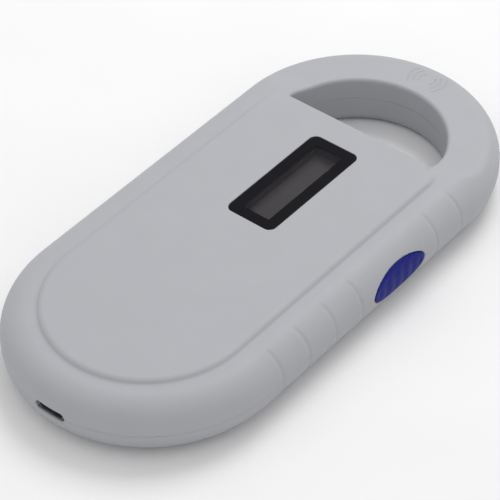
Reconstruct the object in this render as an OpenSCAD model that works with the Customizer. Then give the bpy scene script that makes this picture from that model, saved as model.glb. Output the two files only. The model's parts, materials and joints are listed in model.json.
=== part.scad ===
// Palm-size pet microchip scanner with a ring antenna.
// Origin at the centre of the flat back face: +Y towards the antenna ring,
// +X towards the push button, +Z up through the display.

/* [Case] */
// Overall length, tail to ring
case_l = 150; // [149:0.1:151]
// Overall width
case_w = 71.6; // [71.4:0.1:72.2]
// Overall thickness, back face to plateau
case_h = 16.5; // [16.5:0.1:17]
// Height of the raised plateau above the rim
plateau_h = 1; // [0.8:0.1:1.2]
// Depth of the ring's flat top below the rim of the grip
ring_drop = 1.3; // [1.1:0.1:1.5]
// Wall thickness of both shells
wall = 2; // [1.8:0.1:2]
// Height of the parting line between the shells
part_z = 8.1; // [8:0.05:8.2]

/* [Antenna opening] */
// Radius of the half-round opening
hole_r = 22.5; // [22:0.1:22.8]
// Fillet radius round the top of the opening
hole_top_fillet = 1; // [0.6:0.1:1.4]
// Fillet radius round the bottom of the opening
hole_base_fillet = 2.9; // [1.5:0.1:3]
// Plan radius of the opening's two corners
hole_corner_r = 1.8; // [1:0.1:2.5]

/* [Display] */
// Width of the display window
window_w = 14.15; // [13.9:0.05:14.4]
// Length of the display window
window_l = 34.8; // [34.5:0.1:35.2]
// Distance of the window's centre from the origin
window_y = 13.6; // [13.4:0.1:13.8]
// Depth of the display glass below the plateau
display_depth = 2.8; // [2.7:0.05:2.9]

/* [Side button] */
// Distance of the button's centre from the origin
button_y = 9.85; // [9.5:0.05:10.2]
// Length of the oval key along the side
button_l = 19.4; // [18.8:0.1:20]
// Height of the oval key
button_h = 8.2; // [7.8:0.1:8.4]
// Travel of the key
button_travel = 0.6; // [0.4:0.05:0.6]
// Gap round the key
button_gap = 0.2; // [0.15:0.05:0.25]

/* [Grip grooves] */
// Spacing of the grooves along each side
groove_pitch = 9.85; // [9.8:0.05:9.9]
// Width of a groove
groove_w = 1; // [0.6:0.1:1.4]
// Depth of a groove
groove_depth = 0.25; // [0.2:0.05:0.5]

/* [Charging socket] */
// Width of the slot in the tail
slot_w = 8.5; // [8.2:0.1:8.8]
// Height of the slot in the tail
slot_h = 2.4; // [2:0.1:2.6]

/* [Hidden] */

$fn = 96;
arc_steps = 10;              // straight steps in each quarter of the case's edge

// Plan of the case: a stadium, two half discs joined by straight sides
case_r = case_w / 2;
end_y = case_l / 2 - case_r; // centres of the two half discs
rim_z = case_h - plateau_h;
ring_z = rim_z - ring_drop;

// Edge rounding as elliptical quarters, [horizontal, vertical] radii
top_edge = [7, rim_z - 8.6];
base_edge = [8, 7.5];

// Ramp from the rim down to the ring's flat top, along Y
ramp_start = end_y + 2.8;
ramp_end = end_y + 8.3;

// Joint between the shells: a tongue on the front shell in a rebate of the back
lip_h = 1;
lip_t = 0.9;
lip_gap = 0.1;

// Plateau
plateau_foot = 26.7;         // half width where its step meets the rim
plateau_top = 25.7;          // half width at its top edge
pocket_half = 24;            // half width of the hollow under it
pocket_z = case_h - 2.1;     // roof of that hollow

// Display stack
lens_t = 1;
tape_t = 0.1;
view_w = 7.9;                // clear area inside the black border
view_l = 28.5;
aperture_w = 11.4;
aperture_l = 32.1;
panel = [11.5, 30, 1.45];
display_z = case_h - display_depth;
panel_z = display_z - panel.z;
holder = [14.4, 33.2, 6.78];
flex_w = 8;
flex_t = 0.15;
flex_channel_z = panel_z - 0.3;
flex_y = window_y - holder.y / 2 - 2.1; // upright part of the ribbon

// Circuit board
board_t = 1.6;
board_z = 5.3;
board_top = board_z + board_t;
board_half_w = 27;
board_tail_r = 31;
board_end_y = 31;

// Button, its well in the wall and its switch
button_z = part_z;
well_x = 31;                 // inner face of the thickened wall
well_half_l = button_l / 2 + 2.7;
well_skin = 0.8;             // the well stays this far inside the outer surface
flange_t = 1.2;
flange_x = well_x - 0.1;     // outer face of the key's flange
plunger_tip_x = 28;
plunger_travel = button_travel / 2;
plunger = [1.8, 2.8, 1.2];
switch_size = [3.5, 6, 2.4];
switch_front_x = 26.7;
rib_pitch = 3.3;
rib_gap_w = 1;

// Grooves on both sides, counted in pitches from the button's centre
groove_rows = [-4.5, -3.5, -2.5, -1.5, 1.5, 2.5];

// Charging socket behind the slot
socket_w = 7.5;
socket_h = 2.4;
socket_l = 5.4;
socket_y = -case_l / 2 + 0.85;

// Screws: [x, y] of each, four through the board and one in the ring
ring_screw_r = 29.5;
board_screws = [[-22, -50], [22, -50], [-23.5, 24], [23.5, 24]];
ring_screw = [0, end_y + ring_screw_r];
all_screws = concat(board_screws, [ring_screw]);
boss_d = 5.2;
shank_d = 2.1;
head_d = 4;
head_h = 1.3;
head_seat_z = 1.6;

// Label on the back
label_w = 34;
label_l = 24;
label_y = -12;

// Antenna coil
coil_r = 24.9;               // inside radius round the opening
coil_t = 1.9;
coil_h = 6;
coil_z = 4;
coil_drop = 2.4;             // how far the straight run lies below the end centre
coil_out = [coil_r + coil_t, coil_drop + coil_t];

// Battery
battery_size = [34, 47, 5];
battery_y = -62;             // tail end of the cell
pad_t = 0.55;
lead_r = 0.45;
lead_bend = 1.5;
lead_start_y = battery_y + battery_size.y + 2.4;
plug_x = 14.5;
plug_y = -8.3;

// ---------- outlines ----------

// Points on an elliptical arc about c from angle a0 to a1
function arc(c, r, a0, a1, n = arc_steps) =
    [for (i = [0:n]) let (a = a0 + (a1 - a0) * i / n) [c.x + r.x * cos(a), c.y + r.y * sin(a)]];

// Outline mirrored about x = 0, from points listed bottom to top on the right
function mirrored(p) = concat(p, [for (i = [len(p) - 1:-1:0]) if (p[i].x > 0) [-p[i].x, p[i].y]]);

function rounded_rect(w, l, r, n = 6) = concat(
    arc([w / 2 - r, l / 2 - r], [r, r], 0, 90, n),
    arc([r - w / 2, l / 2 - r], [r, r], 90, 180, n),
    arc([r - w / 2, r - l / 2], [r, r], 180, 270, n),
    arc([w / 2 - r, r - l / 2], [r, r], 270, 360, n)
);

// Closed D: an arc of radius r about the origin, cut by a straight run at y = -drop,
// with rounded corners that meet the arc smoothly
function d_loop(r, drop, corner) = let (
    cy = corner - drop,
    cx = sqrt(pow(r - corner, 2) - pow(cy, 2)),
    t = atan2(cy, cx),
    step = (180 - 2 * t) / 48
) concat(
    arc([0, 0], [r, r], t + step, 180 - t - step, 46),
    arc([-cx, cy], [corner, corner], 180 - t, 270, 8),
    arc([cx, cy], [corner, corner], 270, 360 + t, 8)
);

// Centres of the edge's elliptical quarters, in the plane of a section
top_centre = [case_r - top_edge.x, rim_z - top_edge.y];
base_centre = [case_r - base_edge.x, base_edge.y];

// Section of the front shell's wall and roof, right of the centre line; ceiling lists
// the underside of the roof, and roof_angle is where the wall's inner curve meets it
function front_section(ceiling, roof_angle = 90) = concat(
    [[case_r, part_z]],
    arc(top_centre, top_edge, 0, 90),
    [[0, rim_z]],
    ceiling,
    arc(top_centre, top_edge - [wall, wall], roof_angle, 0),
    [[case_r - wall, part_z - lip_h], [case_r - wall + lip_t, part_z - lip_h],
     [case_r - wall + lip_t, part_z]]
);
grip_section = front_section(
    [[0, pocket_z], [pocket_half, pocket_z], [pocket_half, rim_z - wall]]);
ring_section = front_section(
    [[0, ring_z - wall]], asin((ring_z - wall - top_centre.y) / (top_edge.y - wall)));

// Section of the back shell's wall and floor, right of the centre line
rebate_z = part_z - lip_h - lip_gap;
rebate_x = case_r - wall + lip_t + lip_gap;
rebate_angle = asin((base_edge.y - rebate_z) / (base_edge.y - wall));
back_section = concat(
    [[case_r, part_z]],
    arc(base_centre, base_edge, 0, -90),
    [[0, 0], [0, wall]],
    arc(base_centre, base_edge - [wall, wall], -90, -rebate_angle),
    [[rebate_x, rebate_z], [rebate_x, part_z]]
);

// ---------- case building blocks ----------

// A section carried along the straight sides
module straight_sides(section) {
    translate([0, end_y, 0]) rotate([90, 0, 0]) linear_extrude(2 * end_y) polygon(section);
    mirror([1, 0, 0]) translate([0, end_y, 0]) rotate([90, 0, 0])
        linear_extrude(2 * end_y) polygon(section);
}

module tail_end(section) {
    translate([0, -end_y, 0]) rotate([0, 0, 180]) rotate_extrude(angle = 180) polygon(section);
}

module ring_end(section) {
    translate([0, end_y, 0]) rotate_extrude(angle = 180) polygon(section);
}

// Everything above the ring's flat top and the ramp down to it, as a solid to cut away
module above_ring() {
    run = ramp_end - ramp_start;
    ramp = [for (i = [0:12]) let (t = i / 12) [ramp_start + run * t,
            rim_z - ring_drop * t * t * (3 - 2 * t)]];
    translate([-case_r, 0, 0]) rotate([90, 0, 90]) linear_extrude(case_w)
        polygon(concat(ramp, [[case_l, ring_z], [case_l, case_h + 1], [ramp_start, case_h + 1]]));
}

// The half-round opening with filleted rims, as a solid to cut away
module antenna_opening() {
    corner_x = sqrt(pow(hole_r - hole_corner_r, 2) - pow(hole_corner_r, 2));
    corner = arc([corner_x, hole_corner_r], [1, 1] * hole_corner_r, -90, -8, 5);
    last = corner[5];
    flare = concat(
        [[0, -1], [hole_r + hole_base_fillet, -1]],
        arc([hole_r + hole_base_fillet, hole_base_fillet], [1, 1] * hole_base_fillet, 270, 180, 8),
        arc([hole_r + hole_top_fillet, ring_z - hole_top_fillet], [1, 1] * hole_top_fillet, 180, 90, 8),
        [[hole_r + hole_top_fillet, case_h + 1], [0, case_h + 1]]
    );
    translate([0, end_y, 0]) intersection() {
        rotate_extrude() polygon(flare);
        translate([0, 0, -2]) linear_extrude(case_h + 4) polygon(concat(
            corner, [[case_r, last.y], [case_r, case_r], [-case_r, case_r], [-case_r, last.y]],
            [for (i = [5:-1:0]) [-corner[i].x, corner[i].y]]
        ));
    }
}

// Wall that lines the opening, between two heights
module opening_wall(z0, z1, inset = 0) {
    corner = hole_corner_r + wall - inset;
    translate([0, end_y, z0]) linear_extrude(z1 - z0)
        polygon(d_loop(hole_r + wall - inset, wall - inset, corner));
}

// Thickened wall behind the button; section lists its outer curve
module button_well(section) {
    translate([0, button_y + well_half_l, 0]) rotate([90, 0, 0]) linear_extrude(2 * well_half_l)
        polygon(section);
}

// Angle at which an elliptical quarter crosses the well's inner face
function well_angle(c, r) = acos((well_x - c.x) / r.x);

// Oval prism along X with its centre on the button's axis
module oval(l, h, x0, x1) {
    translate([x0, button_y, button_z]) rotate([90, 0, 90]) linear_extrude(x1 - x0)
        polygon(arc([0, 0], [l / 2, h / 2], 0, 352.5, 47));
}

module grip_grooves() {
    d = groove_depth;
    reach_down = 66;         // angles each groove wraps below and above the widest line,
    reach_up = [66, 38];     // on the button's side and on the other
    out = 14;
    c0 = base_centre;
    c1 = top_centre;
    for (side = [0, 1], row = groove_rows) mirror([side, 0, 0])
        translate([0, button_y + row * groove_pitch + groove_w / 2, 0]) rotate([90, 0, 0])
            linear_extrude(groove_w) polygon(concat(
                arc(c0, base_edge - [d, d], -reach_down, 0),
                arc(c1, top_edge - [d, d], 0, reach_up[side]),
                [c1 + out * [cos(reach_up[side]), sin(reach_up[side])], [case_r + out, c1.y + out],
                 [case_r + out, c0.y - out], c0 + out * [cos(reach_down), -sin(reach_down)]]
            ));
}

// Slot for the plug, and the pocket behind it for the socket's mouth
module charging_slot() {
    translate([0, -case_l / 2 - 1, part_z]) rotate([-90, 0, 0])
        linear_extrude(4) polygon(rounded_rect(slot_w, slot_h, slot_h / 2 - 0.1));
    translate([-4.1, -case_l / 2 + 0.75, part_z - 1.4]) cube([8.2, 4.5, 2.8]);
}

// Round posts, or holes when cut away, at the screws' places
module posts(places, d, z0, z1) {
    for (p = places) translate([p.x, p.y, z0]) cylinder(d = d, h = z1 - z0);
}

// ---------- case ----------

module plateau() {
    section = [[0, rim_z - 0.5], [plateau_foot, rim_z - 0.5], [plateau_foot, rim_z],
               [plateau_top, case_h], [0, case_h]];
    corner_r = 2;
    half = plateau_foot + 0.4;
    intersection() {
        union() {
            straight_sides(section);
            tail_end(section);
        }
        translate([0, 0, rim_z - 1]) linear_extrude(plateau_h + 2) polygon(mirrored(concat(
            [[half, -case_l / 2]],
            arc([half - corner_r, end_y - corner_r], [corner_r, corner_r], 0, 90, 6)
        )));
    }
}

// Three shallow arcs each side of a centre: a plain radio-wave sign
module wave_sign() {
    spread = 40;
    line_w = 0.45;
    depth = 0.2;
    for (side = [0, 180], ring = [1:3])
        translate([0.4, end_y + 28.6, ring_z - depth]) rotate([0, 0, side - spread])
            rotate_extrude(angle = 2 * spread)
                translate([0.7 + ring * 1.45 - line_w / 2, 0]) square([line_w, 1]);
}

module front_shell() {
    r = top_edge - [well_skin, well_skin];
    color("gainsboro") difference() {
        union() {
            straight_sides(grip_section);
            tail_end(grip_section);
            ring_end(ring_section);
            plateau();
            opening_wall(part_z, rim_z - wall / 2);
            difference() {
                opening_wall(part_z - lip_h, part_z + 1);
                opening_wall(part_z - lip_h - 1, part_z, lip_t);
            }
            button_well(concat([[well_x, part_z], [case_r - well_skin, part_z]],
                               arc(top_centre, r, 0, well_angle(top_centre, r))));
            posts(board_screws, boss_d, board_top, pocket_z + 0.2);
            posts([ring_screw], boss_d, part_z, ring_z - wall + 0.2);
        }
        above_ring();
        antenna_opening();
        grip_grooves();
        charging_slot();
        wave_sign();
        oval(button_l + 2 * button_gap, button_h + 2 * button_gap, well_x - 1, case_r + 1);
        translate([well_x, button_y - well_half_l - 0.1, part_z - 2])
            cube([5, 2 * well_half_l + 0.2, 2]);
        posts(all_screws, shank_d + 0.04, part_z - 3, head_seat_z + 10);
        translate([0, window_y, rim_z - 3]) linear_extrude(5)
            polygon(rounded_rect(aperture_w, aperture_l, 1));
        translate([0, window_y, case_h - lens_t - tape_t]) linear_extrude(3)
            polygon(rounded_rect(window_w + 0.1, window_l + 0.1, 2.05));
    }
}

module back_shell() {
    r = base_edge - [well_skin, well_skin];
    rib = [2, 3];
    color("gainsboro") difference() {
        union() {
            straight_sides(back_section);
            tail_end(back_section);
            ring_end(back_section);
            difference() {
                opening_wall(wall / 2, part_z);
                opening_wall(rebate_z, part_z + 1, -1);
            }
            opening_wall(wall / 2, part_z, lip_t + lip_gap);
            button_well(concat(
                arc(base_centre, r, -well_angle(base_centre, r), 0),
                [[case_r - well_skin, part_z], [well_x, part_z]]
            ));
            posts(board_screws, boss_d, wall / 2, board_z);
            posts([ring_screw], boss_d, wall / 2, part_z);
            for (a = [30, 60, 120, 150]) translate([0, end_y, wall / 2]) rotate([0, 0, a])
                translate([coil_r - 0.8, -rib.x / 2, 0]) cube([rib.y, rib.x, coil_z - wall / 2 - 0.2]);
            for (x = [-12, 12]) translate([x - rib.x / 2, end_y - coil_drop - 2.2, wall / 2])
                cube([rib.x, rib.y - 0.2, coil_z - wall / 2 - 0.2]);
        }
        antenna_opening();
        grip_grooves();
        charging_slot();
        oval(button_l + 2 * button_gap, button_h + 2 * button_gap, well_x - 1, case_r + 1);
        posts(all_screws, shank_d + 0.3, -1, part_z + 1);
        posts(all_screws, head_d + 0.6, -1, head_seat_z);
        translate([0, label_y, -1]) linear_extrude(1.35) polygon(rounded_rect(label_w, label_l, 2));
    }
}

module rating_label() {
    color("silver") translate([0, label_y, 0.1]) linear_extrude(0.25)
        polygon(rounded_rect(label_w - 0.4, label_l - 0.4, 1.8));
}

// Self-tapping screws with a cross recess
module case_screws() {
    color("dimgray") for (p = all_screws) translate([p.x, p.y, 0]) difference() {
        union() {
            translate([0, 0, head_seat_z - head_h]) cylinder(d = head_d, h = head_h);
            translate([0, 0, head_seat_z - 0.1]) cylinder(d = shank_d, h = 8.6);
            translate([0, 0, head_seat_z + 8.5]) cylinder(d1 = shank_d, d2 = 0.6, h = 1.2);
        }
        for (a = [0, 90]) rotate([0, 0, a]) translate([-1.2, -0.25, 0]) cube([2.4, 0.5, 1]);
    }
}

// ---------- display ----------

module display_window() {
    color([0.12, 0.11, 0.13, 0.8]) translate([0, window_y, case_h - lens_t])
        linear_extrude(lens_t) polygon(rounded_rect(window_w, window_l, 2));
}

module window_tape() {
    color("black") translate([0, window_y, case_h - lens_t - tape_t]) linear_extrude(tape_t)
        difference() {
            polygon(rounded_rect(window_w - 0.6, window_l - 0.6, 1.7));
            polygon(rounded_rect(aperture_w + 0.2, aperture_l + 0.2, 1));
        }
}

module display_gasket() {
    top = case_h - lens_t - 0.02;
    color([0.16, 0.15, 0.17]) translate([0, window_y, display_z]) linear_extrude(top - display_z)
        difference() {
            polygon(rounded_rect(aperture_w - 0.2, aperture_l - 0.2, 0.9));
            polygon(rounded_rect(view_w + 0.2, view_l + 0.2, 0.4));
        }
}

module oled_panel() {
    color([0.28, 0.27, 0.28]) translate([-panel.x / 2, window_y - panel.y / 2, panel_z])
        cube(panel - [0, 0, 0.02]);
}

module display_holder() {
    t = 1.2;
    deck_z = flex_channel_z - 0.8;
    color("whitesmoke") difference() {
        translate([-holder.x / 2, window_y - holder.y / 2, board_top]) cube(holder);
        translate([0, window_y, panel_z - 0.02]) linear_extrude(5)
            polygon(rounded_rect(panel.x + 0.2, panel.y + 0.2, 0.3));
        translate([t - holder.x / 2, window_y - holder.y / 2 + t, board_top - 1])
            cube([holder.x - 2 * t, holder.y - 2 * t, deck_z - board_top + 1]);
        translate([-flex_w / 2 - 0.5, window_y - holder.y / 2 - 1, flex_channel_z])
            cube([flex_w + 1, 9, 0.5]);
    }
}

// Ribbon from under the panel, over the holder's edge and down to its connector
module display_flex() {
    h = flex_t / 2;
    z = flex_channel_z + 0.12;
    bend = 1.5;
    foot = 1.2;
    foot_z = board_top + 0.5;
    upper = [flex_y + bend, z - bend];
    lower = [flex_y - foot, foot_z + foot];
    outline = concat(
        [[upper.x + 5, z + h]],
        arc(upper, [1, 1] * (bend + h), 90, 180, 8),
        arc(lower, [1, 1] * (foot - h), 0, -90, 8),
        [[lower.x - 1.1, foot_z + h], [lower.x - 1.1, foot_z - h]],
        arc(lower, [1, 1] * (foot + h), -90, 0, 8),
        arc(upper, [1, 1] * (bend - h), 180, 90, 8),
        [[upper.x + 5, z - h]]
    );
    color("peru") translate([-flex_w / 2, 0, 0]) rotate([90, 0, 90]) linear_extrude(flex_w)
        polygon(outline);
}

module display_connector() {
    l = 3.4;
    y1 = flex_y - 1.6;
    color("ivory") difference() {
        translate([-flex_w / 2 - 1.2, y1 - l, board_top]) cube([flex_w + 2.4, l, 1]);
        translate([-flex_w / 2 - 0.1, y1 - 0.9, board_top + 0.35]) cube([flex_w + 0.2, 2, 0.3]);
    }
}

// ---------- main board ----------

module main_board() {
    a = acos(board_half_w / board_tail_r);
    color("seagreen") translate([0, 0, board_z]) difference() {
        linear_extrude(board_t) polygon(concat(
            arc([0, -end_y], [1, 1] * board_tail_r, 180 + a, 266, 12),
            [[-5, -end_y - 32.8], [5, -end_y - 32.8]],
            arc([0, -end_y], [1, 1] * board_tail_r, 274, 360 - a, 12),
            [[board_half_w, board_end_y], [-board_half_w, board_end_y]]
        ));
        posts(board_screws, shank_d + 0.6, -1, board_t + 1);
    }
}

// Flat chip package with n leads along each of its two or four sides
module chip(size, n, pitch, four_sided) {
    lead = [pitch * 0.45, 1, 0.3];
    translate([-size.x / 2, -size.y / 2, 0.1]) cube(size - [0, 0, 0.1]);
    for (a = four_sided ? [0, 90, 180, 270] : [90, 270], i = [0:n - 1]) rotate([0, 0, a])
        translate([(i - (n - 1) / 2) * pitch - lead.x / 2, (a % 180 == 0 ? size.y : size.x) / 2 - 0.2, 0])
            cube(lead + [0, 0.2, 0]);
}

module controller_chip() {
    color("dimgray") translate([-17, 18.5, board_top]) chip([7, 7, 1.4], 12, 0.5, true);
}

module reader_chip() {
    color("dimgray") translate([13.5, 18, board_top]) chip([3.9, 9.9, 1.5], 8, 1.27, false);
}

module charger_chip() {
    color("dimgray") translate([11, -65, board_top]) chip([2.6, 3.4, 1.2], 4, 0.8, false);
}

// Metal-can quartz crystal
module crystal() {
    r = 2.2;
    half = 3.4;
    color("silver") translate([-17, 9.4, board_top]) linear_extrude(3.4)
        polygon(concat(arc([half, 0], [r, r], -90, 90, 8), arc([-half, 0], [r, r], 90, 270, 8)));
}

module tuning_capacitors() {
    color("burlywood") for (i = [0:2]) translate([8.8 + 4 * i, 27.2, board_top])
        cube([3, 2.5, 2.2]);
}

// Small resistors and capacitors in rows
module chip_components() {
    size = [1.6, 0.8, 0.55];
    color("tan") for (i = [0:4], j = [0:1]) {
        translate([-23 + 3 * i, -7.4 + 2 * j, board_top]) cube(size);
        translate([-14 + 3 * i, -66 + 1.8 * j, board_top]) cube(size);
    }
}

module buzzer() {
    color([0.1, 0.1, 0.1]) translate([-17, 1.6, board_top]) difference() {
        cylinder(d = 9, h = 4.2);
        translate([0, 0, 3]) cylinder(d = 1.6, h = 2);
    }
}

// Folded metal shell of the micro-USB socket, open towards the tail
function socket_outline(inset) = let (w = socket_w / 2 - inset, h = socket_h / 2 - inset) [
    [-w, h], [-w, -h * 0.3], [-w * 0.8, -h], [w * 0.8, -h], [w, -h * 0.3], [w, h]
];
module usb_socket() {
    t = 0.25;
    color("silver") translate([0, socket_y, board_top + socket_h / 2]) {
        difference() {
            rotate([90, 0, 0]) mirror([0, 0, 1]) linear_extrude(socket_l) polygon(socket_outline(0));
            translate([0, -1, 0]) rotate([90, 0, 0]) mirror([0, 0, 1])
                linear_extrude(socket_l + 1 - t) polygon(socket_outline(t));
        }
    }
}

module usb_tongue() {
    color([0.15, 0.15, 0.15]) translate([0, socket_y, board_top + socket_h / 2]) {
        translate([-1.9, 0.6, -0.05]) cube([3.8, 3.6, 0.6]);
        translate([-2.6, 4, -0.8]) cube([5.2, 1.1, 1.6]);
    }
}

// ---------- button and switch ----------

// Oval key: ribbed face that follows the case's side, flange and pusher behind
module side_button() {
    face = mirrored(concat(
        [[0, 0]], arc(base_centre, base_edge, -90, 0), arc(top_centre, top_edge, 0, 90),
        [[0, rim_z]]
    ));
    pusher_tip = plunger_tip_x + button_travel - plunger_travel + 0.02;
    color("mediumblue") union() {
        difference() {
            intersection() {
                oval(button_l, button_h, flange_x - 0.5, case_r + 1);
                translate([0, button_y + button_l, 0]) rotate([90, 0, 0])
                    linear_extrude(2 * button_l) polygon(face);
            }
            for (i = [-1.5:1.5]) translate([case_r - 0.35, button_y + i * rib_pitch - rib_gap_w / 2, 0])
                cube([2, rib_gap_w, case_h]);
        }
        oval(button_l + 2.8, button_h + 1.4, flange_x - flange_t, flange_x);
        translate([pusher_tip, button_y, button_z]) rotate([0, 90, 0])
            cylinder(d = 3, h = flange_x - pusher_tip);
    }
}

module switch_body() {
    pocket = [1.2, plunger.y + 0.1, plunger.z + 0.1];
    color([0.15, 0.15, 0.16]) difference() {
        translate([switch_front_x - switch_size.x, button_y - switch_size.y / 2, board_top])
            cube(switch_size);
        translate([switch_front_x - 1.1, button_y - pocket.y / 2, button_z - pocket.z / 2]) cube(pocket);
    }
}

module switch_plunger() {
    color("white") translate([plunger_tip_x - plunger.x, button_y - plunger.y / 2,
                              button_z - plunger.z / 2]) cube(plunger);
}

// ---------- battery ----------

// Pouch cell with rounded long edges
module battery_cell() {
    r = battery_size.z / 2 - 0.1;
    color("silver") translate([0, battery_y, board_top + pad_t]) rotate([90, 0, 0])
        mirror([0, 0, 1]) linear_extrude(battery_size.y)
            translate([0, battery_size.z / 2]) polygon(rounded_rect(battery_size.x, battery_size.z, r));
}

module battery_protection_board() {
    color("seagreen") translate([-14, battery_y + battery_size.y + 0.2, board_top + pad_t + 1])
        cube([28, 2.2, 2.6]);
}

module battery_pad() {
    color("white") translate([-14, battery_y + 3, board_top]) cube([28, 41, pad_t]);
}

// Wire from the cell's board, bent once towards the plug; i counts the wires
module battery_lead(i) {
    x0 = 7 + 2 * i;
    y1 = -7.6 - 1.4 * i;
    z = board_top + 2.6;
    translate([x0, lead_start_y, z]) rotate([-90, 0, 0])
        cylinder(r = lead_r, h = y1 - lead_bend - lead_start_y);
    translate([x0 + lead_bend, y1 - lead_bend, z]) rotate([0, 0, 90])
        rotate_extrude(angle = 90) translate([lead_bend, 0]) circle(r = lead_r);
    translate([x0 + lead_bend, y1, z]) rotate([0, 90, 0])
        cylinder(r = lead_r, h = plug_x - x0 - lead_bend);
}

module battery_lead_red() { color("firebrick") battery_lead(0); }
module battery_lead_black() { color("black") battery_lead(1); }

module battery_plug() {
    color("ivory") translate([plug_x, plug_y - 2, board_top + 1.3]) cube([4, 4, 2.6]);
}

module battery_socket() {
    color("white") translate([plug_x + 0.8, plug_y - 2.6, board_top]) difference() {
        cube([4.6, 5.2, 4.6]);
        translate([-1, 0.5, 1.2]) cube([4.3, 4.2, 2.8]);
    }
}

// ---------- antenna ----------

module antenna_coil() {
    color("chocolate") translate([0, end_y, coil_z]) linear_extrude(coil_h) difference() {
        polygon(d_loop(coil_out[0], coil_out[1], hole_corner_r + coil_out[1]));
        polygon(d_loop(coil_r, coil_drop, hole_corner_r + coil_drop));
    }
}

// Tape bands round the coil's straight run
module coil_tape() {
    t = 0.12;
    w = 6;
    color("gold") for (x = [-16, 0, 16])
        translate([x - w / 2, end_y - coil_out[1] - t - 0.01, coil_z - t - 0.01]) difference() {
            cube([w, coil_t + 2 * t + 0.02, coil_h + 2 * t + 0.02]);
            translate([-1, t, t]) cube([w + 2, coil_t + 0.02, coil_h + 0.02]);
        }
}

module antenna_leads() {
    color("chocolate") for (x = [-10, -12]) translate([x, board_end_y - 1.5, board_top + 0.2])
        rotate([-90, 0, 0]) cylinder(r = 0.2, h = end_y - coil_out[1] - board_end_y + 1.5);
}

front_shell();
back_shell();
display_window();
window_tape();
display_gasket();
oled_panel();
display_holder();
display_flex();
display_connector();
main_board();
controller_chip();
reader_chip();
charger_chip();
crystal();
tuning_capacitors();
chip_components();
buzzer();
usb_socket();
usb_tongue();
switch_body();
switch_plunger();
side_button();
battery_cell();
battery_protection_board();
battery_pad();
battery_lead_red();
battery_lead_black();
battery_plug();
battery_socket();
antenna_coil();
coil_tape();
antenna_leads();
case_screws();
rating_label();
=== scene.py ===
"""Looks of a palm-size pet microchip scanner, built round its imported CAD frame.

The moulded pieces are drawn as distance fields in millimetres, with every edge rounded as a mould
rounds it, and meshed from those fields. Everything else is the CAD's own solid with a finer material.
"""

import json
import math

import bpy
import numpy as np
from mathutils import Matrix, Vector


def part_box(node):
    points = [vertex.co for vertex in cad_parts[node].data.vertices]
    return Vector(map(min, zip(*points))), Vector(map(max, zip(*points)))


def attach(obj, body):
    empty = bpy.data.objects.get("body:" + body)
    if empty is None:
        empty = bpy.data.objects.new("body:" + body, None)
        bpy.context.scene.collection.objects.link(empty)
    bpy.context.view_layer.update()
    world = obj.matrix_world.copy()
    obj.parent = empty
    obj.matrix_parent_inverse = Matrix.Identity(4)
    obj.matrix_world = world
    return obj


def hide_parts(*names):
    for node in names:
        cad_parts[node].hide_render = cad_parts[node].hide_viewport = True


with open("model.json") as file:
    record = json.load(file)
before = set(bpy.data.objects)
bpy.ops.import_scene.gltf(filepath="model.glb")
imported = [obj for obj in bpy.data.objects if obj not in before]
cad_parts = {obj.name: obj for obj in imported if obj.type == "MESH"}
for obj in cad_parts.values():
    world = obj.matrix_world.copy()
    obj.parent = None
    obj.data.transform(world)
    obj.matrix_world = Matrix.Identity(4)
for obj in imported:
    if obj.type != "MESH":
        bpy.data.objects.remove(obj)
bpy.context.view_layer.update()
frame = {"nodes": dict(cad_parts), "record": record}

MM = 0.001


def box_mm(node):
    """Lowest and highest corners of a CAD node, in millimetres."""
    low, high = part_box(node)
    return np.array(low) / MM, np.array(high) / MM


# ---------- dimensions, in millimetres ----------

front_low, front_high = box_mm("front_shell")
back_low, back_high = box_mm("back_shell")
window_low, window_high = box_mm("display_window")
gasket_low, gasket_high = box_mm("display_gasket")
button_low, button_high = box_mm("side_button")
board_low, board_high = box_mm("main_board")
label_low, label_high = box_mm("rating_label")

# Case
CASE_R = front_high[0]
CASE_H = front_high[2]
END_Y = front_high[1] - CASE_R          # centres of the two round ends
PART_Z = back_high[2]                   # parting line between the shells
PLATEAU_H = 1.0
RIM_Z = CASE_H - PLATEAU_H
WALL = 2.0
TOP_EDGE = (7.0, 6.9)                   # upper edge all round, across and up
BASE_EDGE = (8.0, 7.5)                  # lower edge all round
RING_DROP = 1.3                         # depth of the ring's flat top below the rim
RING_RAMP = (39.6, 48.6)                # where the rim comes down to it, along Y
RING_EDGE = 0.8                         # rounding between the flat top and the upper edge
PLATEAU_FOOT = 26.8
PLATEAU_CORNER = 1.5
PLATEAU_SLOPE = 1.0
PLATEAU_EDGE = 0.45
PLATEAU_END_RUN = 3.0                   # slope of the plateau's end beside the opening
PLATEAU_END_X = 21.3                    # where that slope starts
FOOT_FILLET = 0.4
POCKET_HALF = 24.0
POCKET_Z = CASE_H - 2.1

# Antenna opening
HOLE_R = 22.5
HOLE_CORNER = 1.8
ARC_FILLETS = (2.9, 1.0)                # round the arc, at the base and at the top
CHORD_FILLETS = (0.8, 0.5)              # along the straight side
FILLET_TURN = (0.4, 2.4)                # start and length of the change between the two, along Y
FILLET_RISE = (5.0, 6.0)                # start and length of the change from base to top, along Z

# Grip grooves, counted in pitches from the button's centre
BUTTON_Y = (button_low[1] + button_high[1]) / 2
BUTTON_Z = PART_Z
GROOVE_PITCH = 9.85
GROOVE_HALF_W = 0.8
GROOVE_DEPTH = 0.26
GROOVE_ROWS = (-4.5, 2.5)
GROOVE_FREE = 1.5                       # rows nearer the button than this are left out
GROOVE_START = (30.0, 33.6)             # upper ends, on the button's side and on the other
GROOVE_FADE = 2.5                       # over which they reach their full depth

# Side button
KEY_HALF = (9.7, 4.1)
KEY_GAP = 0.2
FLANGE_HALF = (11.1, 4.8)
WELL_X = 31.0
WELL_HALF_L = 12.4
KEY_EDGE = 0.35
RIB_PITCH = 3.3
RIB_DEPTH = 0.17
PUSHER_R = 1.5

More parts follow.
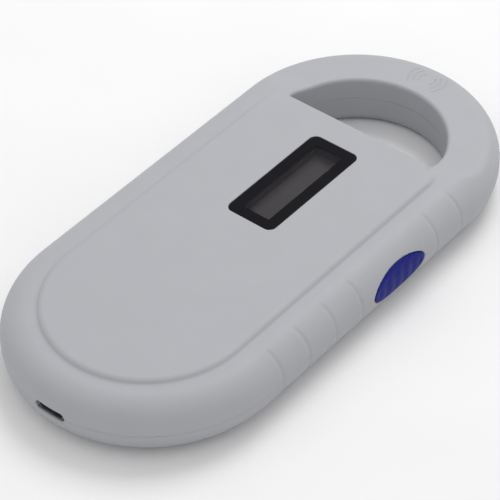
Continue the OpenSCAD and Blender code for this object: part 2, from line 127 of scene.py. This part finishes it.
# Window, charging slot, screws and label
WINDOW_Y = (window_low[1] + window_high[1]) / 2
WINDOW_HALF = (window_high[:2] - window_low[:2]) / 2
WINDOW_CORNER = 2.0
VIEW_HALF = (gasket_high[:2] - gasket_low[:2]) / 2 - np.array([1.6, 1.65])
APERTURE_HALF = (gasket_high[:2] - gasket_low[:2]) / 2 + 0.1
LEDGE_Z = window_low[2] - 0.1
SLOT_HALF = (4.25, 1.2)
SLOT_EDGE = 0.5
BOARD_SCREWS = ((-22, -50), (22, -50), (-23.5, 24), (23.5, 24))
RING_SCREW = (0, END_Y + 29.5)
SCREWS = BOARD_SCREWS + (RING_SCREW,)
BOSS_R = 2.6
PILOT_R = 1.07                          # holes in the bosses, in the back and round the heads
CLEAR_R = 1.2
SEAT_R = 2.3
SHANK_R = 1.05
HEAD_R = 2.0
HEAD_SEAT_Z = 1.6
HEAD_H = 1.3
THREAD_PITCH = 0.8
LABEL_Y = (label_low[1] + label_high[1]) / 2
LABEL_HALF = (label_high[:2] - label_low[:2]) / 2

# Wave sign engraved in the ring: three arcs each side of a centre
SIGN_CENTRE = (0.4, END_Y + 28.6)
SIGN_RADII = (2.15, 3.6, 5.05)
SIGN_SPREAD = math.radians(40)
SIGN_HALF_W = 0.42
SIGN_DEPTH = 0.16


# ---------- distance fields: negative inside a solid ----------

def smoothstep(t):
    t = np.clip(t, 0, 1)
    return t * t * (3 - 2 * t)


def round_max(a, b, r):
    """Where both fields are inside, with the edge between them rounded to radius r."""
    corner = np.hypot(np.maximum(a + r, 0), np.maximum(b + r, 0)) - r
    return np.where((a > -r) & (b > -r), corner, np.maximum(a, b))


def round_min(a, b, r):
    """Where either field is inside, with a fillet of radius r between them."""
    return -round_max(-a, -b, r)


def ellipse(u, v, a, b):
    """Distance to an ellipse of radii a and b, close to true near its outline."""
    k = np.hypot(u / a, v / b)
    slope = np.hypot(u / a**2, v / b**2)
    return (k - 1) * k / np.maximum(slope, 1e-9)


def elliptical_edge(u, v, a, b):
    """Two faces at u = a and v = b that meet in an elliptical quarter about u = v = 0."""
    return np.where((u > 0) & (v > 0), ellipse(u, v, a, b), np.maximum(u - a, v - b))


def rounded_rect(u, v, half, r):
    p = np.abs(u) - (half[0] - r)
    q = np.abs(v) - (half[1] - r)
    return np.hypot(np.maximum(p, 0), np.maximum(q, 0)) + np.minimum(np.maximum(p, q), 0) - r


def stadium(x, y, r):
    return np.hypot(x, np.maximum(np.abs(y) - END_Y, 0)) - r


def case_body(x, y, z, inset=0.0):
    """The case without its plateau and openings; inset gives the surface of the hollow inside."""
    side = stadium(x, y, CASE_R)
    top = elliptical_edge(side + TOP_EDGE[0], z - (RIM_Z - TOP_EDGE[1]),
                          TOP_EDGE[0] - inset, TOP_EDGE[1] - inset)
    base = elliptical_edge(side + BASE_EDGE[0], BASE_EDGE[1] - z,
                           BASE_EDGE[0] - inset, BASE_EDGE[1] - inset)
    drop = RING_DROP * smoothstep((y - RING_RAMP[0]) / (RING_RAMP[1] - RING_RAMP[0]))
    return round_max(np.maximum(top, base), z - RIM_Z + drop + inset, np.minimum(RING_EDGE, drop))


def grip_relief(x, y):
    """Depth of the V grooves that wrap round both long sides, as a share of the full depth."""
    row = (y - BUTTON_Y) / GROOVE_PITCH
    nearest = np.round(row - 0.5) + 0.5
    used = (nearest >= GROOVE_ROWS[0]) & (nearest <= GROOVE_ROWS[1])
    used &= np.abs(nearest) >= GROOVE_FREE
    away = np.hypot((row - nearest) * GROOVE_PITCH, 0.12)
    start = np.where(x > 0, *GROOVE_START)
    fade = smoothstep((np.abs(x) - start) / GROOVE_FADE)
    return used * fade * np.maximum(1 - away / GROOVE_HALF_W, 0)


def sign_relief(x, y, z):
    """Depth of the wave sign's round-bottomed lines, as a share of the full depth."""
    u, v = np.abs(x - SIGN_CENTRE[0]), y - SIGN_CENTRE[1]
    r = np.hypot(u, v)
    past_end = np.maximum(np.abs(np.arctan2(v, u)) - SIGN_SPREAD, 0) * r
    across = np.minimum.reduce([np.abs(r - radius) for radius in SIGN_RADII])
    return smoothstep(1 - np.hypot(across, past_end) / SIGN_HALF_W) * (z > RIM_Z - RING_DROP - 1)


def plateau(x, y, z):
    """Raised top with sloped sides. Its end runs past the opening's chord, and slopes down beside it."""
    half = np.hypot(x, np.minimum(y + END_Y, 0)) - PLATEAU_FOOT
    sloped = (half + (z - RIM_Z) * PLATEAU_SLOPE) / math.hypot(1, PLATEAU_SLOPE)
    run = PLATEAU_END_RUN * smoothstep((np.abs(x) - PLATEAU_END_X) / 3.0)
    past_chord = 1 - smoothstep((np.abs(x) - PLATEAU_END_X + 1.3) / 1.5)
    end = (y - END_Y - past_chord + (z - RIM_Z) * run) / np.hypot(1, run)
    plan = round_max(sloped, end, PLATEAU_CORNER)
    slab = round_max(plan, z - CASE_H, PLATEAU_EDGE)
    return np.maximum(slab, RIM_Z - 0.8 - z)


def opening(x, y):
    """Plan of the half-round opening in the ring."""
    return round_max(np.hypot(x, y - END_Y) - HOLE_R, END_Y - y, HOLE_CORNER)


def case_outside(x, y, z):
    body = case_body(x, y, z) + GROOVE_DEPTH * grip_relief(x, y) + SIGN_DEPTH * sign_relief(x, y, z)
    body = round_min(body, plateau(x, y, z), FOOT_FILLET)
    arc = smoothstep((y - END_Y - FILLET_TURN[0]) / FILLET_TURN[1])
    high = smoothstep((z - FILLET_RISE[0]) / FILLET_RISE[1])
    base_r, top_r = (c + (a - c) * arc for c, a in zip(CHORD_FILLETS, ARC_FILLETS))
    return round_max(body, -opening(x, y), base_r + (top_r - base_r) * high)


def hollow(x, y, z):
    """The room inside the case, left between its walls, the opening's lining and the button's well."""
    room = case_body(x, y, z, WALL)
    pocket = np.maximum(np.hypot(x, np.minimum(y + END_Y, 0)) - POCKET_HALF, y - END_Y)
    pocket = np.maximum(pocket, np.maximum(z - POCKET_Z, RIM_Z - WALL - 1 - z))
    room = np.minimum(room, pocket)
    room = np.maximum(room, WALL - opening(x, y))
    well = np.maximum(WELL_X - x, np.abs(y - BUTTON_Y) - WELL_HALF_L)
    return np.maximum(room, -well)


def joint_edge(x, y):
    """Rounding of the shells' parting edges, which fades out where they meet in the opening."""
    return 0.01 + 0.03 * smoothstep((opening(x, y) - 1) / 2)


def posts(x, y, places, r):
    """Round posts or holes of radius r at the given places, in plan."""
    return np.minimum.reduce([np.hypot(x - px, y - py) - r for px, py in places])


def shared_cuts(x, y, z, shell):
    """The button's oval hole and the charging slot, which both shells share."""
    oval = ellipse(y - BUTTON_Y, z - BUTTON_Z, KEY_HALF[0] + KEY_GAP, KEY_HALF[1] + KEY_GAP)
    shell = round_max(shell, -np.maximum(oval, WELL_X - 2 - x), 0.3)
    slot = rounded_rect(x, z - PART_Z, SLOT_HALF, SLOT_HALF[1] - 0.05)
    shell = round_max(shell, -np.maximum(slot, y + front_high[1] - 4), SLOT_EDGE)
    pocket = rounded_rect(x, z - PART_Z, (4.1, 1.4), 0.2)
    behind = np.maximum(np.abs(y + front_high[1] - 3) - 2.25, pocket)
    return np.maximum(shell, -behind)


def front_shell(x, y, z):
    room = hollow(x, y, z)
    room = np.maximum(room, -posts(x, y, SCREWS, BOSS_R))
    shell = round_max(np.maximum(case_outside(x, y, z), -room), PART_Z - z, joint_edge(x, y))
    stub = np.maximum(posts(x, y, BOARD_SCREWS, BOSS_R), np.abs(z - board_high[2] - 1) - 1)
    shell = np.minimum(shell, stub)
    shell = np.maximum(shell, -np.maximum(posts(x, y, SCREWS, PILOT_R), z - HEAD_SEAT_Z - 10))
    shell = shared_cuts(x, y, z, shell)
    rebate = rounded_rect(x, y - WINDOW_Y, WINDOW_HALF + 0.06, WINDOW_CORNER + 0.06)
    shell = round_max(shell, -np.maximum(rebate, LEDGE_Z - z), 0.15)
    aperture = rounded_rect(x, y - WINDOW_Y, APERTURE_HALF, 1.0)
    return np.maximum(shell, -np.maximum(aperture, RIM_Z - WALL - 2 - z))


def back_shell(x, y, z):
    room = hollow(x, y, z)
    posts_here = np.maximum(posts(x, y, BOARD_SCREWS, BOSS_R), z - board_low[2])
    posts_here = np.minimum(posts_here, posts(x, y, [RING_SCREW], BOSS_R))
    room = np.maximum(room, -posts_here)
    shell = round_max(np.maximum(case_outside(x, y, z), -room), z - PART_Z, joint_edge(x, y))
    shell = np.maximum(shell, -posts(x, y, SCREWS, CLEAR_R))
    shell = round_max(shell, -np.maximum(posts(x, y, SCREWS, SEAT_R), z - HEAD_SEAT_Z), 0.25)
    recess = rounded_rect(x, y - LABEL_Y, LABEL_HALF + 0.2, 2.0)
    shell = round_max(shell, -np.maximum(recess, z - 0.35), 0.15)
    return shared_cuts(x, y, z, shell)


def side_button(x, y, z):
    """Oval key with upright finger ribs, whose face follows the side of the case."""
    along, up = y - BUTTON_Y, z - BUTTON_Z
    oval = ellipse(along, up, *KEY_HALF)
    face = case_body(x, y, z)
    wave = 0.5 + 0.5 * np.cos(2 * math.pi * along / RIB_PITCH)
    inside = smoothstep(-(oval + 0.7) / 1.4)
    face = face + RIB_DEPTH * inside * (1 - wave)
    key = round_max(np.maximum(face, WELL_X - 0.6 - x), oval, KEY_EDGE)
    flange = round_max(ellipse(along, up, *FLANGE_HALF),
                       np.abs(x - (WELL_X - 0.7)) - 0.6, 0.2)
    pusher = round_max(np.hypot(along, up) - PUSHER_R, button_low[0] - x, 0.3)
    pusher = np.maximum(pusher, x - WELL_X)
    return np.minimum(np.minimum(key, flange), pusher)


def window_plan(x, y):
    return rounded_rect(x, y - WINDOW_Y, WINDOW_HALF, WINDOW_CORNER)


def window_border(x, y, z):
    """Black frame of the window; its inner edge is undercut, so only the foam shows below it."""
    slab = round_max(window_plan(x, y), np.abs(z - window_high[2] + 0.5) - 0.5, 0.15)
    view = rounded_rect(x, y - WINDOW_Y, VIEW_HALF, 0.3) - 0.9 * (window_high[2] - z)
    return np.maximum(slab, -view)


def window_pane(x, y, z):
    pane = rounded_rect(x, y - WINDOW_Y, VIEW_HALF - 0.01, 0.3)
    return np.maximum(pane, np.abs(z - window_high[2] + 0.5) - 0.5)


def screw(x, y, z):
    """Pan-head screw for plastic, driven from below, with a tapered cross recess."""
    r = np.hypot(x, y)
    crown = HEAD_SEAT_Z - HEAD_H + 0.035 * r * r
    head = round_max(np.maximum(r - HEAD_R, z - HEAD_SEAT_Z), crown - z, 0.3)
    turn = np.arctan2(y, x) / (2 * math.pi)
    ridge = np.abs(((z / THREAD_PITCH - turn) % 1) - 0.5) * 2
    tip = np.clip((z - HEAD_SEAT_Z - 8.2) * 0.5, 0, 1)
    shank = (r - SHANK_R + 0.28 * np.minimum(ridge * 1.6, 1) * (z > HEAD_SEAT_Z + 0.6) + tip) * 0.7
    shank = np.maximum(shank, np.maximum(HEAD_SEAT_Z - 0.3 - z, z - HEAD_SEAT_Z - 9.6))
    taper = 0.3 * (z - HEAD_SEAT_Z + HEAD_H)
    wing = np.minimum(np.maximum(np.abs(x) - 1.2 + taper, np.abs(y) - 0.34 + 0.4 * taper),
                      np.maximum(np.abs(y) - 1.2 + taper, np.abs(x) - 0.34 + 0.4 * taper))
    recess = np.maximum(wing, z - HEAD_SEAT_Z + 0.45)
    return np.maximum(np.minimum(head, shank), -recess)


# ---------- meshing ----------

def spaced(low, high, step, fine=()):
    """Sample places from low to high, closer together in each (start, end, step) zone of fine."""
    places = np.arange(low, high + step, step)
    for start, end, close in fine:
        places = places[(places < start - close / 2) | (places > end + close / 2)]
        places = np.append(places, np.arange(start, end + close / 2, close))
    return np.sort(places)


def surface_net(field, grid):
    """Points and quads of the surface where the field is zero: one point in each crossed grid cell."""
    size = np.array([len(places) for places in grid])
    value = np.array(np.broadcast_to(field(*np.meshgrid(*grid, indexing="ij", sparse=True)), size))
    inside = value < 0
    cells = size - 1
    count = np.zeros(cells.prod())
    total = np.zeros((3, cells.prod()))
    quads = []
    for a in range(3):
        b, c = (a + 1) % 3, (a + 2) % 3
        start = np.argwhere(np.diff(inside.astype(np.int8), axis=a) != 0)
        end = start.copy()
        end[:, a] += 1
        v0, v1 = value[tuple(start.T)], value[tuple(end.T)]
        point = np.stack([grid[k][start[:, k]] for k in range(3)], axis=1)
        point[:, a] += (grid[a][end[:, a]] - point[:, a]) * v0 / (v0 - v1)
        ring = []
        for back_b, back_c in ((0, 0), (1, 0), (1, 1), (0, 1)):
            cell = start.copy()
            cell[:, b] -= back_b
            cell[:, c] -= back_c
            index = np.ravel_multi_index(cell.T, cells)
            count += np.bincount(index, minlength=len(count))
            for k in range(3):
                total[k] += np.bincount(index, weights=point[:, k], minlength=len(count))
            ring.append(index)
        ring = np.stack(ring, axis=1)
        leaving = v0 >= 0
        ring[leaving] = ring[leaving][:, ::-1]
        quads.append(ring)
    used, quads = np.unique(np.concatenate(quads), return_inverse=True)
    return (total[:, used] / count[used]).T, quads.reshape(-1, 4)


def normals_at(points, field, h=0.01):
    """Gradient of the field at each point."""
    out = np.empty_like(points)
    for a in range(3):
        shift = np.zeros(3)
        shift[a] = h
        out[:, a] = (field(*(points + shift).T) - field(*(points - shift).T)) / (2 * h)
    return out


def settle(points, field, reach):
    """Moves the points onto the true surface, along the field's slope, reach at most each time."""
    for _ in range(3):
        g = normals_at(points, field)
        move = -field(*points.T)[:, None] * g / np.maximum((g * g).sum(1), 1e-6)[:, None]
        length = np.linalg.norm(move, axis=1)[:, None]
        points = points + move * np.minimum(1, reach / np.maximum(length, 1e-9))
    return points


def unit(vectors):
    return vectors / np.maximum(np.linalg.norm(vectors, axis=1), 1e-9)[:, None]


def thinned(mesh, share):
    """The mesh with only a share of its faces kept, most of them where it bends."""
    whole = bpy.data.objects.new(mesh.name, mesh)
    bpy.context.scene.collection.objects.link(whole)
    whole.modifiers.new("thin", "DECIMATE").ratio = share
    seen = whole.evaluated_get(bpy.context.evaluated_depsgraph_get())
    result = bpy.data.meshes.new_from_object(seen)
    bpy.data.objects.remove(whole)
    return result


def field_mesh(name, field, grid, share=1.0):
    """A closed, smooth-shaded mesh of a field. Its normals are the field's own slope."""
    points, quads = surface_net(field, grid)
    reach = max(0.4 * min(np.diff(places).min() for places in grid), 0.05)
    mesh = bpy.data.meshes.new(name)
    mesh.from_pydata(settle(points, field, reach).tolist(), [], quads.tolist())
    if share < 1:
        mesh = thinned(mesh, share)
    points = np.empty(3 * len(mesh.vertices))
    mesh.vertices.foreach_get("co", points)
    points = settle(points.reshape(-1, 3), field, 0.02)
    mesh.vertices.foreach_set("co", points.ravel() * MM)
    mesh.shade_smooth()
    mesh.normals_split_custom_set_from_vertices(unit(normals_at(points, field)).tolist())
    return mesh


def place(name, mesh, slot, body, *nodes, at=(0, 0, 0)):
    """Shows a mesh as a piece that rides on a body and stands for CAD nodes."""
    piece = bpy.data.objects.new(name, mesh)
    piece.location = Vector(at) * MM
    bpy.context.scene.collection.objects.link(piece)
    mesh.materials.clear()
    mesh.materials.append(finish[slot])
    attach(piece, body)
    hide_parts(*nodes)


# ---------- finishes ----------

class Finish:
    """A material whose colour, gloss and relief all come from nodes."""

    def __init__(self, name):
        self.material = bpy.data.materials.new(name)
        self.material.use_nodes = True
        self.tree = self.material.node_tree
        self.shader = self.tree.nodes["Principled BSDF"]
        self.where = self.add("ShaderNodeTexCoord").outputs["Object"]

    def add(self, kind, **settings):
        node = self.tree.nodes.new(kind)
        for key, value in settings.items():
            if key in node.inputs:
                node.inputs[key].default_value = value
            else:
                setattr(node, key, value)
        return node

    def link(self, out, to):
        self.tree.links.new(out, to)

    def noise(self, size_mm, stretch=(1, 1, 1), detail=3.0):
        """Cloudy pattern, 0 to 1, with features of about the given size."""
        scaled = self.add("ShaderNodeMapping")
        scaled.inputs["Scale"].default_value = [s / (size_mm * MM) for s in stretch]
        self.link(self.where, scaled.inputs["Vector"])
        pattern = self.add("ShaderNodeTexNoise", Scale=1.0, Detail=detail)
        self.link(scaled.outputs["Vector"], pattern.inputs["Vector"])
        return pattern.outputs["Fac"]

    def cells(self, size_mm):
        """Distance from the middle of each cell of a foam-like pattern."""
        pattern = self.add("ShaderNodeTexVoronoi", Scale=1 / (size_mm * MM))
        self.link(self.where, pattern.inputs["Vector"])
        return pattern.outputs["Distance"]

    def bands(self, pitch_mm, axis, wander=0.0):
        """Evenly spaced soft bands across an axis."""
        pattern = self.add("ShaderNodeTexWave", Distortion=wander, bands_direction=axis)
        pattern.inputs["Scale"].default_value = math.pi / 10 / (pitch_mm * MM)
        self.link(self.where, pattern.inputs["Vector"])
        return pattern.outputs["Fac"]

    def colour(self, pattern, dark, light, low=0.3, high=0.7):
        """Colours the pattern from dark to light."""
        ramp = self.add("ShaderNodeValToRGB")
        ramp.color_ramp.elements[0].position = low
        ramp.color_ramp.elements[1].position = high
        ramp.color_ramp.elements[0].color = (*dark, 1)
        ramp.color_ramp.elements[1].color = (*light, 1)
        self.link(pattern, ramp.inputs["Fac"])
        self.link(ramp.outputs["Color"], self.shader.inputs["Base Color"])

    def gloss(self, pattern, smooth, rough):
        """Varies the roughness with the pattern."""
        spread = self.add("ShaderNodeMapRange")
        spread.inputs["To Min"].default_value = smooth
        spread.inputs["To Max"].default_value = rough
        self.link(pattern, spread.inputs["Value"])
        self.link(spread.outputs["Result"], self.shader.inputs["Roughness"])

    def relief(self, pattern, height_mm, strength=1.0):
        """Raises the surface with the pattern."""
        bump = self.add("ShaderNodeBump", Strength=strength, Distance=height_mm * MM)
        self.link(pattern, bump.inputs["Height"])
        self.link(bump.outputs["Normal"], self.shader.inputs["Normal"])

    def set(self, **values):
        for key, value in values.items():
            self.shader.inputs[key.replace("_", " ")].default_value = value


def tones(colour, spread):
    """A darker and a lighter tone of a colour."""
    return [c * (1 - spread) for c in colour], [min(c * (1 + spread), 1) for c in colour]


def plastic(name, colour, smooth=0.45, rough=0.6, grain_mm=0.35, relief_mm=0.004, spec=0.4,
            spread=0.03):
    """Moulded plastic: faint mottling and a fine spark-eroded grain."""
    f = Finish(name)
    f.colour(f.noise(9.0), *tones(colour, spread))
    f.gloss(f.noise(2.5), smooth, rough)
    f.relief(f.noise(grain_mm, detail=4.0), relief_mm)
    f.set(Specular_IOR_Level=spec)
    return f.material


def metal(name, colour, smooth=0.2, rough=0.4, stretch=(1, 1, 1), relief_mm=0.002):
    """Drawn or pressed metal with fine marks along one direction."""
    f = Finish(name)
    f.colour(f.noise(1.2, stretch), *tones(colour, 0.12))
    f.gloss(f.noise(0.6, stretch), smooth, rough)
    f.relief(f.noise(0.25, stretch), relief_mm)
    f.set(Metallic=1.0)
    return f.material


def foam(name, colour, cell_mm):
    f = Finish(name)
    # Painted shade: the pores, which the relief below sinks, are coloured darker than the cell walls round
    # them.
    f.colour(f.cells(cell_mm), *tones(colour, 0.3), low=0.0, high=0.6)
    f.gloss(f.noise(1.0), 0.8, 0.95)
    f.relief(f.cells(cell_mm), 0.06)
    return f.material


def circuit_board(name):
    """Green solder mask over copper tracks and planes."""
    f = Finish(name)
    tracks = f.add("ShaderNodeTexBrick", Scale=1 / (2.4 * MM))
    tracks.inputs["Mortar Size"].default_value = 0.03
    tracks.inputs["Color1"].default_value = (0.006, 0.075, 0.028, 1)
    tracks.inputs["Color2"].default_value = (0.008, 0.095, 0.034, 1)
    tracks.inputs["Mortar"].default_value = (0.02, 0.17, 0.06, 1)
    f.link(f.where, tracks.inputs["Vector"])
    f.link(tracks.outputs["Color"], f.shader.inputs["Base Color"])
    f.gloss(f.noise(4.0), 0.25, 0.4)
    f.relief(tracks.outputs["Fac"], 0.02)
    return f.material


def winding(name):
    """Enamelled copper wire in close turns round the coil."""
    f = Finish(name)
    turns = f.bands(0.3, "Z", wander=0.3)
    # Painted shade: the colour follows the same bands as the relief, dark in the grooves between the turns
    # and light on their crowns.
    f.colour(turns, (0.09, 0.02, 0.006), (0.5, 0.16, 0.05), low=0.1, high=0.8)
    f.gloss(f.noise(1.5), 0.2, 0.35)
    f.relief(turns, 0.08)
    f.set(Metallic=0.9)
    return f.material


def ribbon(name):
    """Amber flexible circuit with conductors running along it."""
    f = Finish(name)
    lines = f.bands(0.5, "X")
    f.colour(lines, (0.2, 0.07, 0.012), (0.42, 0.2, 0.05), low=0.35, high=0.6)
    f.gloss(f.noise(2.0), 0.25, 0.4)
    f.relief(lines, 0.02)
    return f.material


def wrinkled_film(name, colour, metallic, smooth, rough, wrinkle_mm, relief_mm):
    f = Finish(name)
    # Painted shade and light: the colour follows the same noise as the relief, darker in the hollows of
    # the wrinkles and lighter on their crests.
    f.colour(f.noise(wrinkle_mm), *tones(colour, 0.1))
    f.gloss(f.noise(wrinkle_mm / 2), smooth, rough)
    f.relief(f.noise(wrinkle_mm), relief_mm)
    f.set(Metallic=metallic)
    return f.material


def clear_pane(name):
    """Clear acrylic: see-through with a weak, sharp reflection and a slight smoke tint."""
    f = Finish(name)
    f.colour(f.noise(6.0), (0.02, 0.02, 0.022), (0.03, 0.03, 0.032))
    f.gloss(f.noise(3.0), 0.04, 0.08)
    f.set(Specular_IOR_Level=0.2)
    through = f.add("ShaderNodeBsdfTransparent", Color=(0.86, 0.85, 0.86, 1))
    mix = f.add("ShaderNodeMixShader", Fac=0.16)
    f.link(through.outputs[0], mix.inputs[1])
    f.link(f.shader.outputs[0], mix.inputs[2])
    f.link(mix.outputs[0], f.tree.nodes["Material Output"].inputs["Surface"])
    return f.material


CASE_GREY = (0.388, 0.392, 0.417)
KEY_BLUE = (0.008, 0.012, 0.18)

finish = {
    "case_plastic": plastic("case_plastic", CASE_GREY, 0.5, 0.62, spread=0.012),
    "button_plastic": plastic("button_plastic", KEY_BLUE, 0.4, 0.5, spec=0.12, spread=0.08),
    "window_acrylic": plastic("window_acrylic", (0.005, 0.0046, 0.007), 0.1, 0.16, 3.0, 0.001, 0.07, 0.2),
    "window_clear": clear_pane("window_clear"),
    "black_foam": foam("black_foam", (0.115, 0.106, 0.126), 0.25),
    "display_glass": plastic("display_glass", (0.20, 0.19, 0.193), 0.1, 0.2, 4.0, 0.001, 0.3, 0.05),
    "adhesive": wrinkled_film("adhesive", (0.02, 0.02, 0.022), 0.0, 0.4, 0.6, 1.5, 0.01),
    "holder_plastic": plastic("holder_plastic", (0.75, 0.75, 0.72)),
    "ribbon": ribbon("ribbon"),
    "connector_plastic": plastic("connector_plastic", (0.7, 0.66, 0.52), 0.3, 0.45),
    "board_laminate": circuit_board("board_laminate"),
    "chip_epoxy": plastic("chip_epoxy", (0.02, 0.02, 0.022), 0.5, 0.65, 0.2, 0.01),
    "ceramic_component": plastic("ceramic_component", (0.42, 0.3, 0.17), 0.4, 0.6, 0.2, 0.01, spread=0.15),
    "can_metal": metal("can_metal", (0.72, 0.72, 0.7), stretch=(0.2, 1, 1)),
    "buzzer_plastic": plastic("buzzer_plastic", (0.015, 0.015, 0.016), 0.3, 0.45),
    "socket_steel": metal("socket_steel", (0.22, 0.22, 0.225), 0.5, 0.6, stretch=(1, 0.2, 1)),
    "socket_insert": plastic("socket_insert", (0.10, 0.10, 0.105), 0.45, 0.6),
    "switch_plastic": plastic("switch_plastic", (0.02, 0.02, 0.024), 0.4, 0.55),
    "plunger_plastic": plastic("plunger_plastic", (0.75, 0.74, 0.7), 0.35, 0.5),
    "cell_foil": wrinkled_film("cell_foil", (0.62, 0.63, 0.65), 0.9, 0.25, 0.45, 5.0, 0.08),
    "foam_tape": foam("foam_tape", (0.75, 0.74, 0.7), 0.3),
    "red_insulation": plastic("red_insulation", (0.45, 0.012, 0.01), 0.3, 0.45, spread=0.08),
    "black_insulation": plastic("black_insulation", (0.012, 0.012, 0.013), 0.3, 0.45, spread=0.2),
    "enamelled_copper": winding("enamelled_copper"),
    "polyimide_tape": wrinkled_film("polyimide_tape", (0.55, 0.27, 0.03), 0.0, 0.1, 0.25, 2.5, 0.02),
    "screw_steel": metal("screw_steel", (0.33, 0.33, 0.35), 0.25, 0.4),
    "label_film": wrinkled_film("label_film", (0.5, 0.51, 0.53), 0.6, 0.35, 0.5, 6.0, 0.01),
}


def finish_cad_nodes():
    """Gives every CAD node the finish of its material slot in the record."""
    for part in frame["record"]["subparts"]:
        mesh = frame["nodes"][part["node"]].data
        mesh.materials.clear()
        mesh.materials.append(finish[part["material_slot"]])


# ---------- pieces ----------

def around(low, high, step, fine=((), (), ())):
    """Sample grid that surrounds a box."""
    return [spaced(low[a] - 1, high[a] + 1, step[a], fine[a]) for a in range(3)]


def shells():
    """Both case shells, with closer samples wherever an edge or a groove is small."""
    joint = (PART_Z - 0.16, PART_Z + 0.16, 0.04)
    top = (RIM_Z - 0.2, CASE_H + 0.2, 0.14)
    sign_x = (SIGN_CENTRE[0] - 6, SIGN_CENTRE[0] + 6, 0.15)
    sign_y = (SIGN_CENTRE[1] - 4.1, SIGN_CENTRE[1] + 4.1, 0.15)
    slot_x = (-SLOT_HALF[0] - 0.8, SLOT_HALF[0] + 0.8, 0.2)
    slot_y = (front_low[1] - 0.2, front_low[1] + 1.6, 0.15)
    slot_z = (PART_Z - SLOT_HALF[1] - 0.5, PART_Z + SLOT_HALF[1] + 0.5, 0.2)
    chord = (END_Y - 0.9, END_Y + 0.9, 0.15)
    side = (CASE_R - 6, CASE_R + 1, 0.25)
    key_y = (button_low[1] - 1, button_high[1] + 1, 0.25)
    step = (0.45, 0.4, 0.35)
    front = around(front_low, front_high, step,
                   ([sign_x, side], [slot_y, key_y, chord, sign_y], [slot_z, joint, top]))
    back = around(back_low, back_high, step, ([slot_x, side], [slot_y, key_y], [slot_z, joint]))
    place("front_case", field_mesh("front_case", front_shell, front, 0.3), "case_plastic",
          "case", "front_shell")
    place("back_case", field_mesh("back_case", back_shell, back, 0.35), "case_plastic",
          "case", "back_shell")


def window():
    border = around(window_low, window_high, (0.12, 0.15, 0.08))
    place("window_border", field_mesh("window_border", window_border, border, 0.7), "window_acrylic",
          "case", "display_window")
    pane = around(window_low, window_high, (0.3, 0.6, 0.25))
    mesh = field_mesh("window_pane", window_pane, pane)
    place("window_pane", mesh, "window_acrylic", "case", "display_window")
    mesh.materials[0] = finish["window_clear"]


def button():
    grid = around(button_low, button_high, (0.12, 0.12, 0.12))
    place("ribbed_key", field_mesh("ribbed_key", side_button, grid, 0.5), "button_plastic",
          "button", "side_button")


def screws():
    low = (-HEAD_R, -HEAD_R, HEAD_SEAT_Z - HEAD_H)
    high = (HEAD_R, HEAD_R, HEAD_SEAT_Z + 9.6)
    mesh = field_mesh("screw", screw, around(low, high, (0.1, 0.1, 0.1)))
    for number, (x, y) in enumerate(SCREWS, 1):
        place(f"screw_{number}", mesh, "screw_steel", "case", "case_screws", at=(x, y, 0))


# ---------- studio ----------

def area_light(name, power, size, position, aim=(0, 0, 0.01)):
    light = bpy.data.lights.new(name, "AREA")
    light.energy = power
    light.shape = "DISK"
    light.size = size
    lamp = bpy.data.objects.new(name, light)
    lamp.location = position
    lamp.rotation_euler = (Vector(aim) - Vector(position)).to_track_quat("-Z", "Y").to_euler()
    bpy.context.scene.collection.objects.link(lamp)


def sky(level_up, level_side, brighter, tilt):
    """Soft studio surround: lightest overhead, and a little lighter towards one side."""
    world = bpy.data.worlds.new("surround")
    world.use_nodes = True
    bpy.context.scene.world = world
    nodes, links = world.node_tree.nodes, world.node_tree.links
    where = nodes.new("ShaderNodeTexCoord")
    along = nodes.new("ShaderNodeVectorMath")
    along.operation = "DOT_PRODUCT"
    along.inputs[1].default_value = Vector(brighter).normalized()
    level = nodes.new("ShaderNodeMapRange")
    level.inputs["From Min"].default_value = -tilt
    level.inputs["From Max"].default_value = 1
    level.inputs["To Min"].default_value = level_side
    level.inputs["To Max"].default_value = level_up
    links.new(where.outputs["Generated"], along.inputs[0])
    links.new(along.outputs["Value"], level.inputs["Value"])
    links.new(level.outputs["Result"], nodes["Background"].inputs["Strength"])
    nodes["Background"].inputs["Color"].default_value = (1, 1, 1, 1)


def floor():
    half = 3.0
    mesh = bpy.data.meshes.new("floor")
    corners = [(-half, -half, 0), (half, -half, 0), (half, half, 0), (-half, half, 0)]
    mesh.from_pydata(corners, [], [(0, 1, 2, 3)])
    piece = bpy.data.objects.new("floor", mesh)
    piece.location.z = -0.02 * MM
    bpy.context.scene.collection.objects.link(piece)
    f = Finish("floor_paper")
    f.colour(f.noise(40.0), (0.84, 0.84, 0.84), (0.86, 0.86, 0.86))
    f.gloss(f.noise(20.0), 0.9, 1.0)
    f.set(Specular_IOR_Level=0.1)
    mesh.materials.append(f.material)


def camera():
    """The photograph's viewpoint, as angles and distances about the middle of the object."""
    azimuth, elevation, roll = math.radians(41.157), math.radians(42.74), math.radians(-2.006)
    distance, aside, above = 0.60689, -0.005506, -0.003618
    back = Vector((math.sin(azimuth) * math.cos(elevation),
                   -math.cos(azimuth) * math.cos(elevation), math.sin(elevation)))
    level = Vector((math.cos(azimuth), math.sin(azimuth), 0))
    upright = back.cross(level)
    right = math.cos(roll) * level + math.sin(roll) * upright
    up = math.cos(roll) * upright - math.sin(roll) * level
    lens = bpy.data.cameras.new("camera")
    lens.lens = 179.46
    lens.sensor_width = 36
    lens.shift_x = 0.0284
    lens.shift_y = 0.0025
    eye = bpy.data.objects.new("camera", lens)
    middle = Vector((0, 0, CASE_H / 2 * MM))
    turn = Matrix((right, up, back)).transposed().to_4x4()
    spot = middle + back * distance + right * aside + up * above
    eye.matrix_world = Matrix.Translation(spot) @ turn
    bpy.context.scene.collection.objects.link(eye)
    bpy.context.scene.camera = eye


finish_cad_nodes()
shells()
window()
button()
screws()
floor()
sky(0.88, 0.68, (-0.1, 0.2, 1.0), 0.2)
area_light("overhead", 4.5, 0.6, (-0.15, 0.6, 0.9))
camera()
bpy.context.scene.view_settings.view_transform = "Standard"
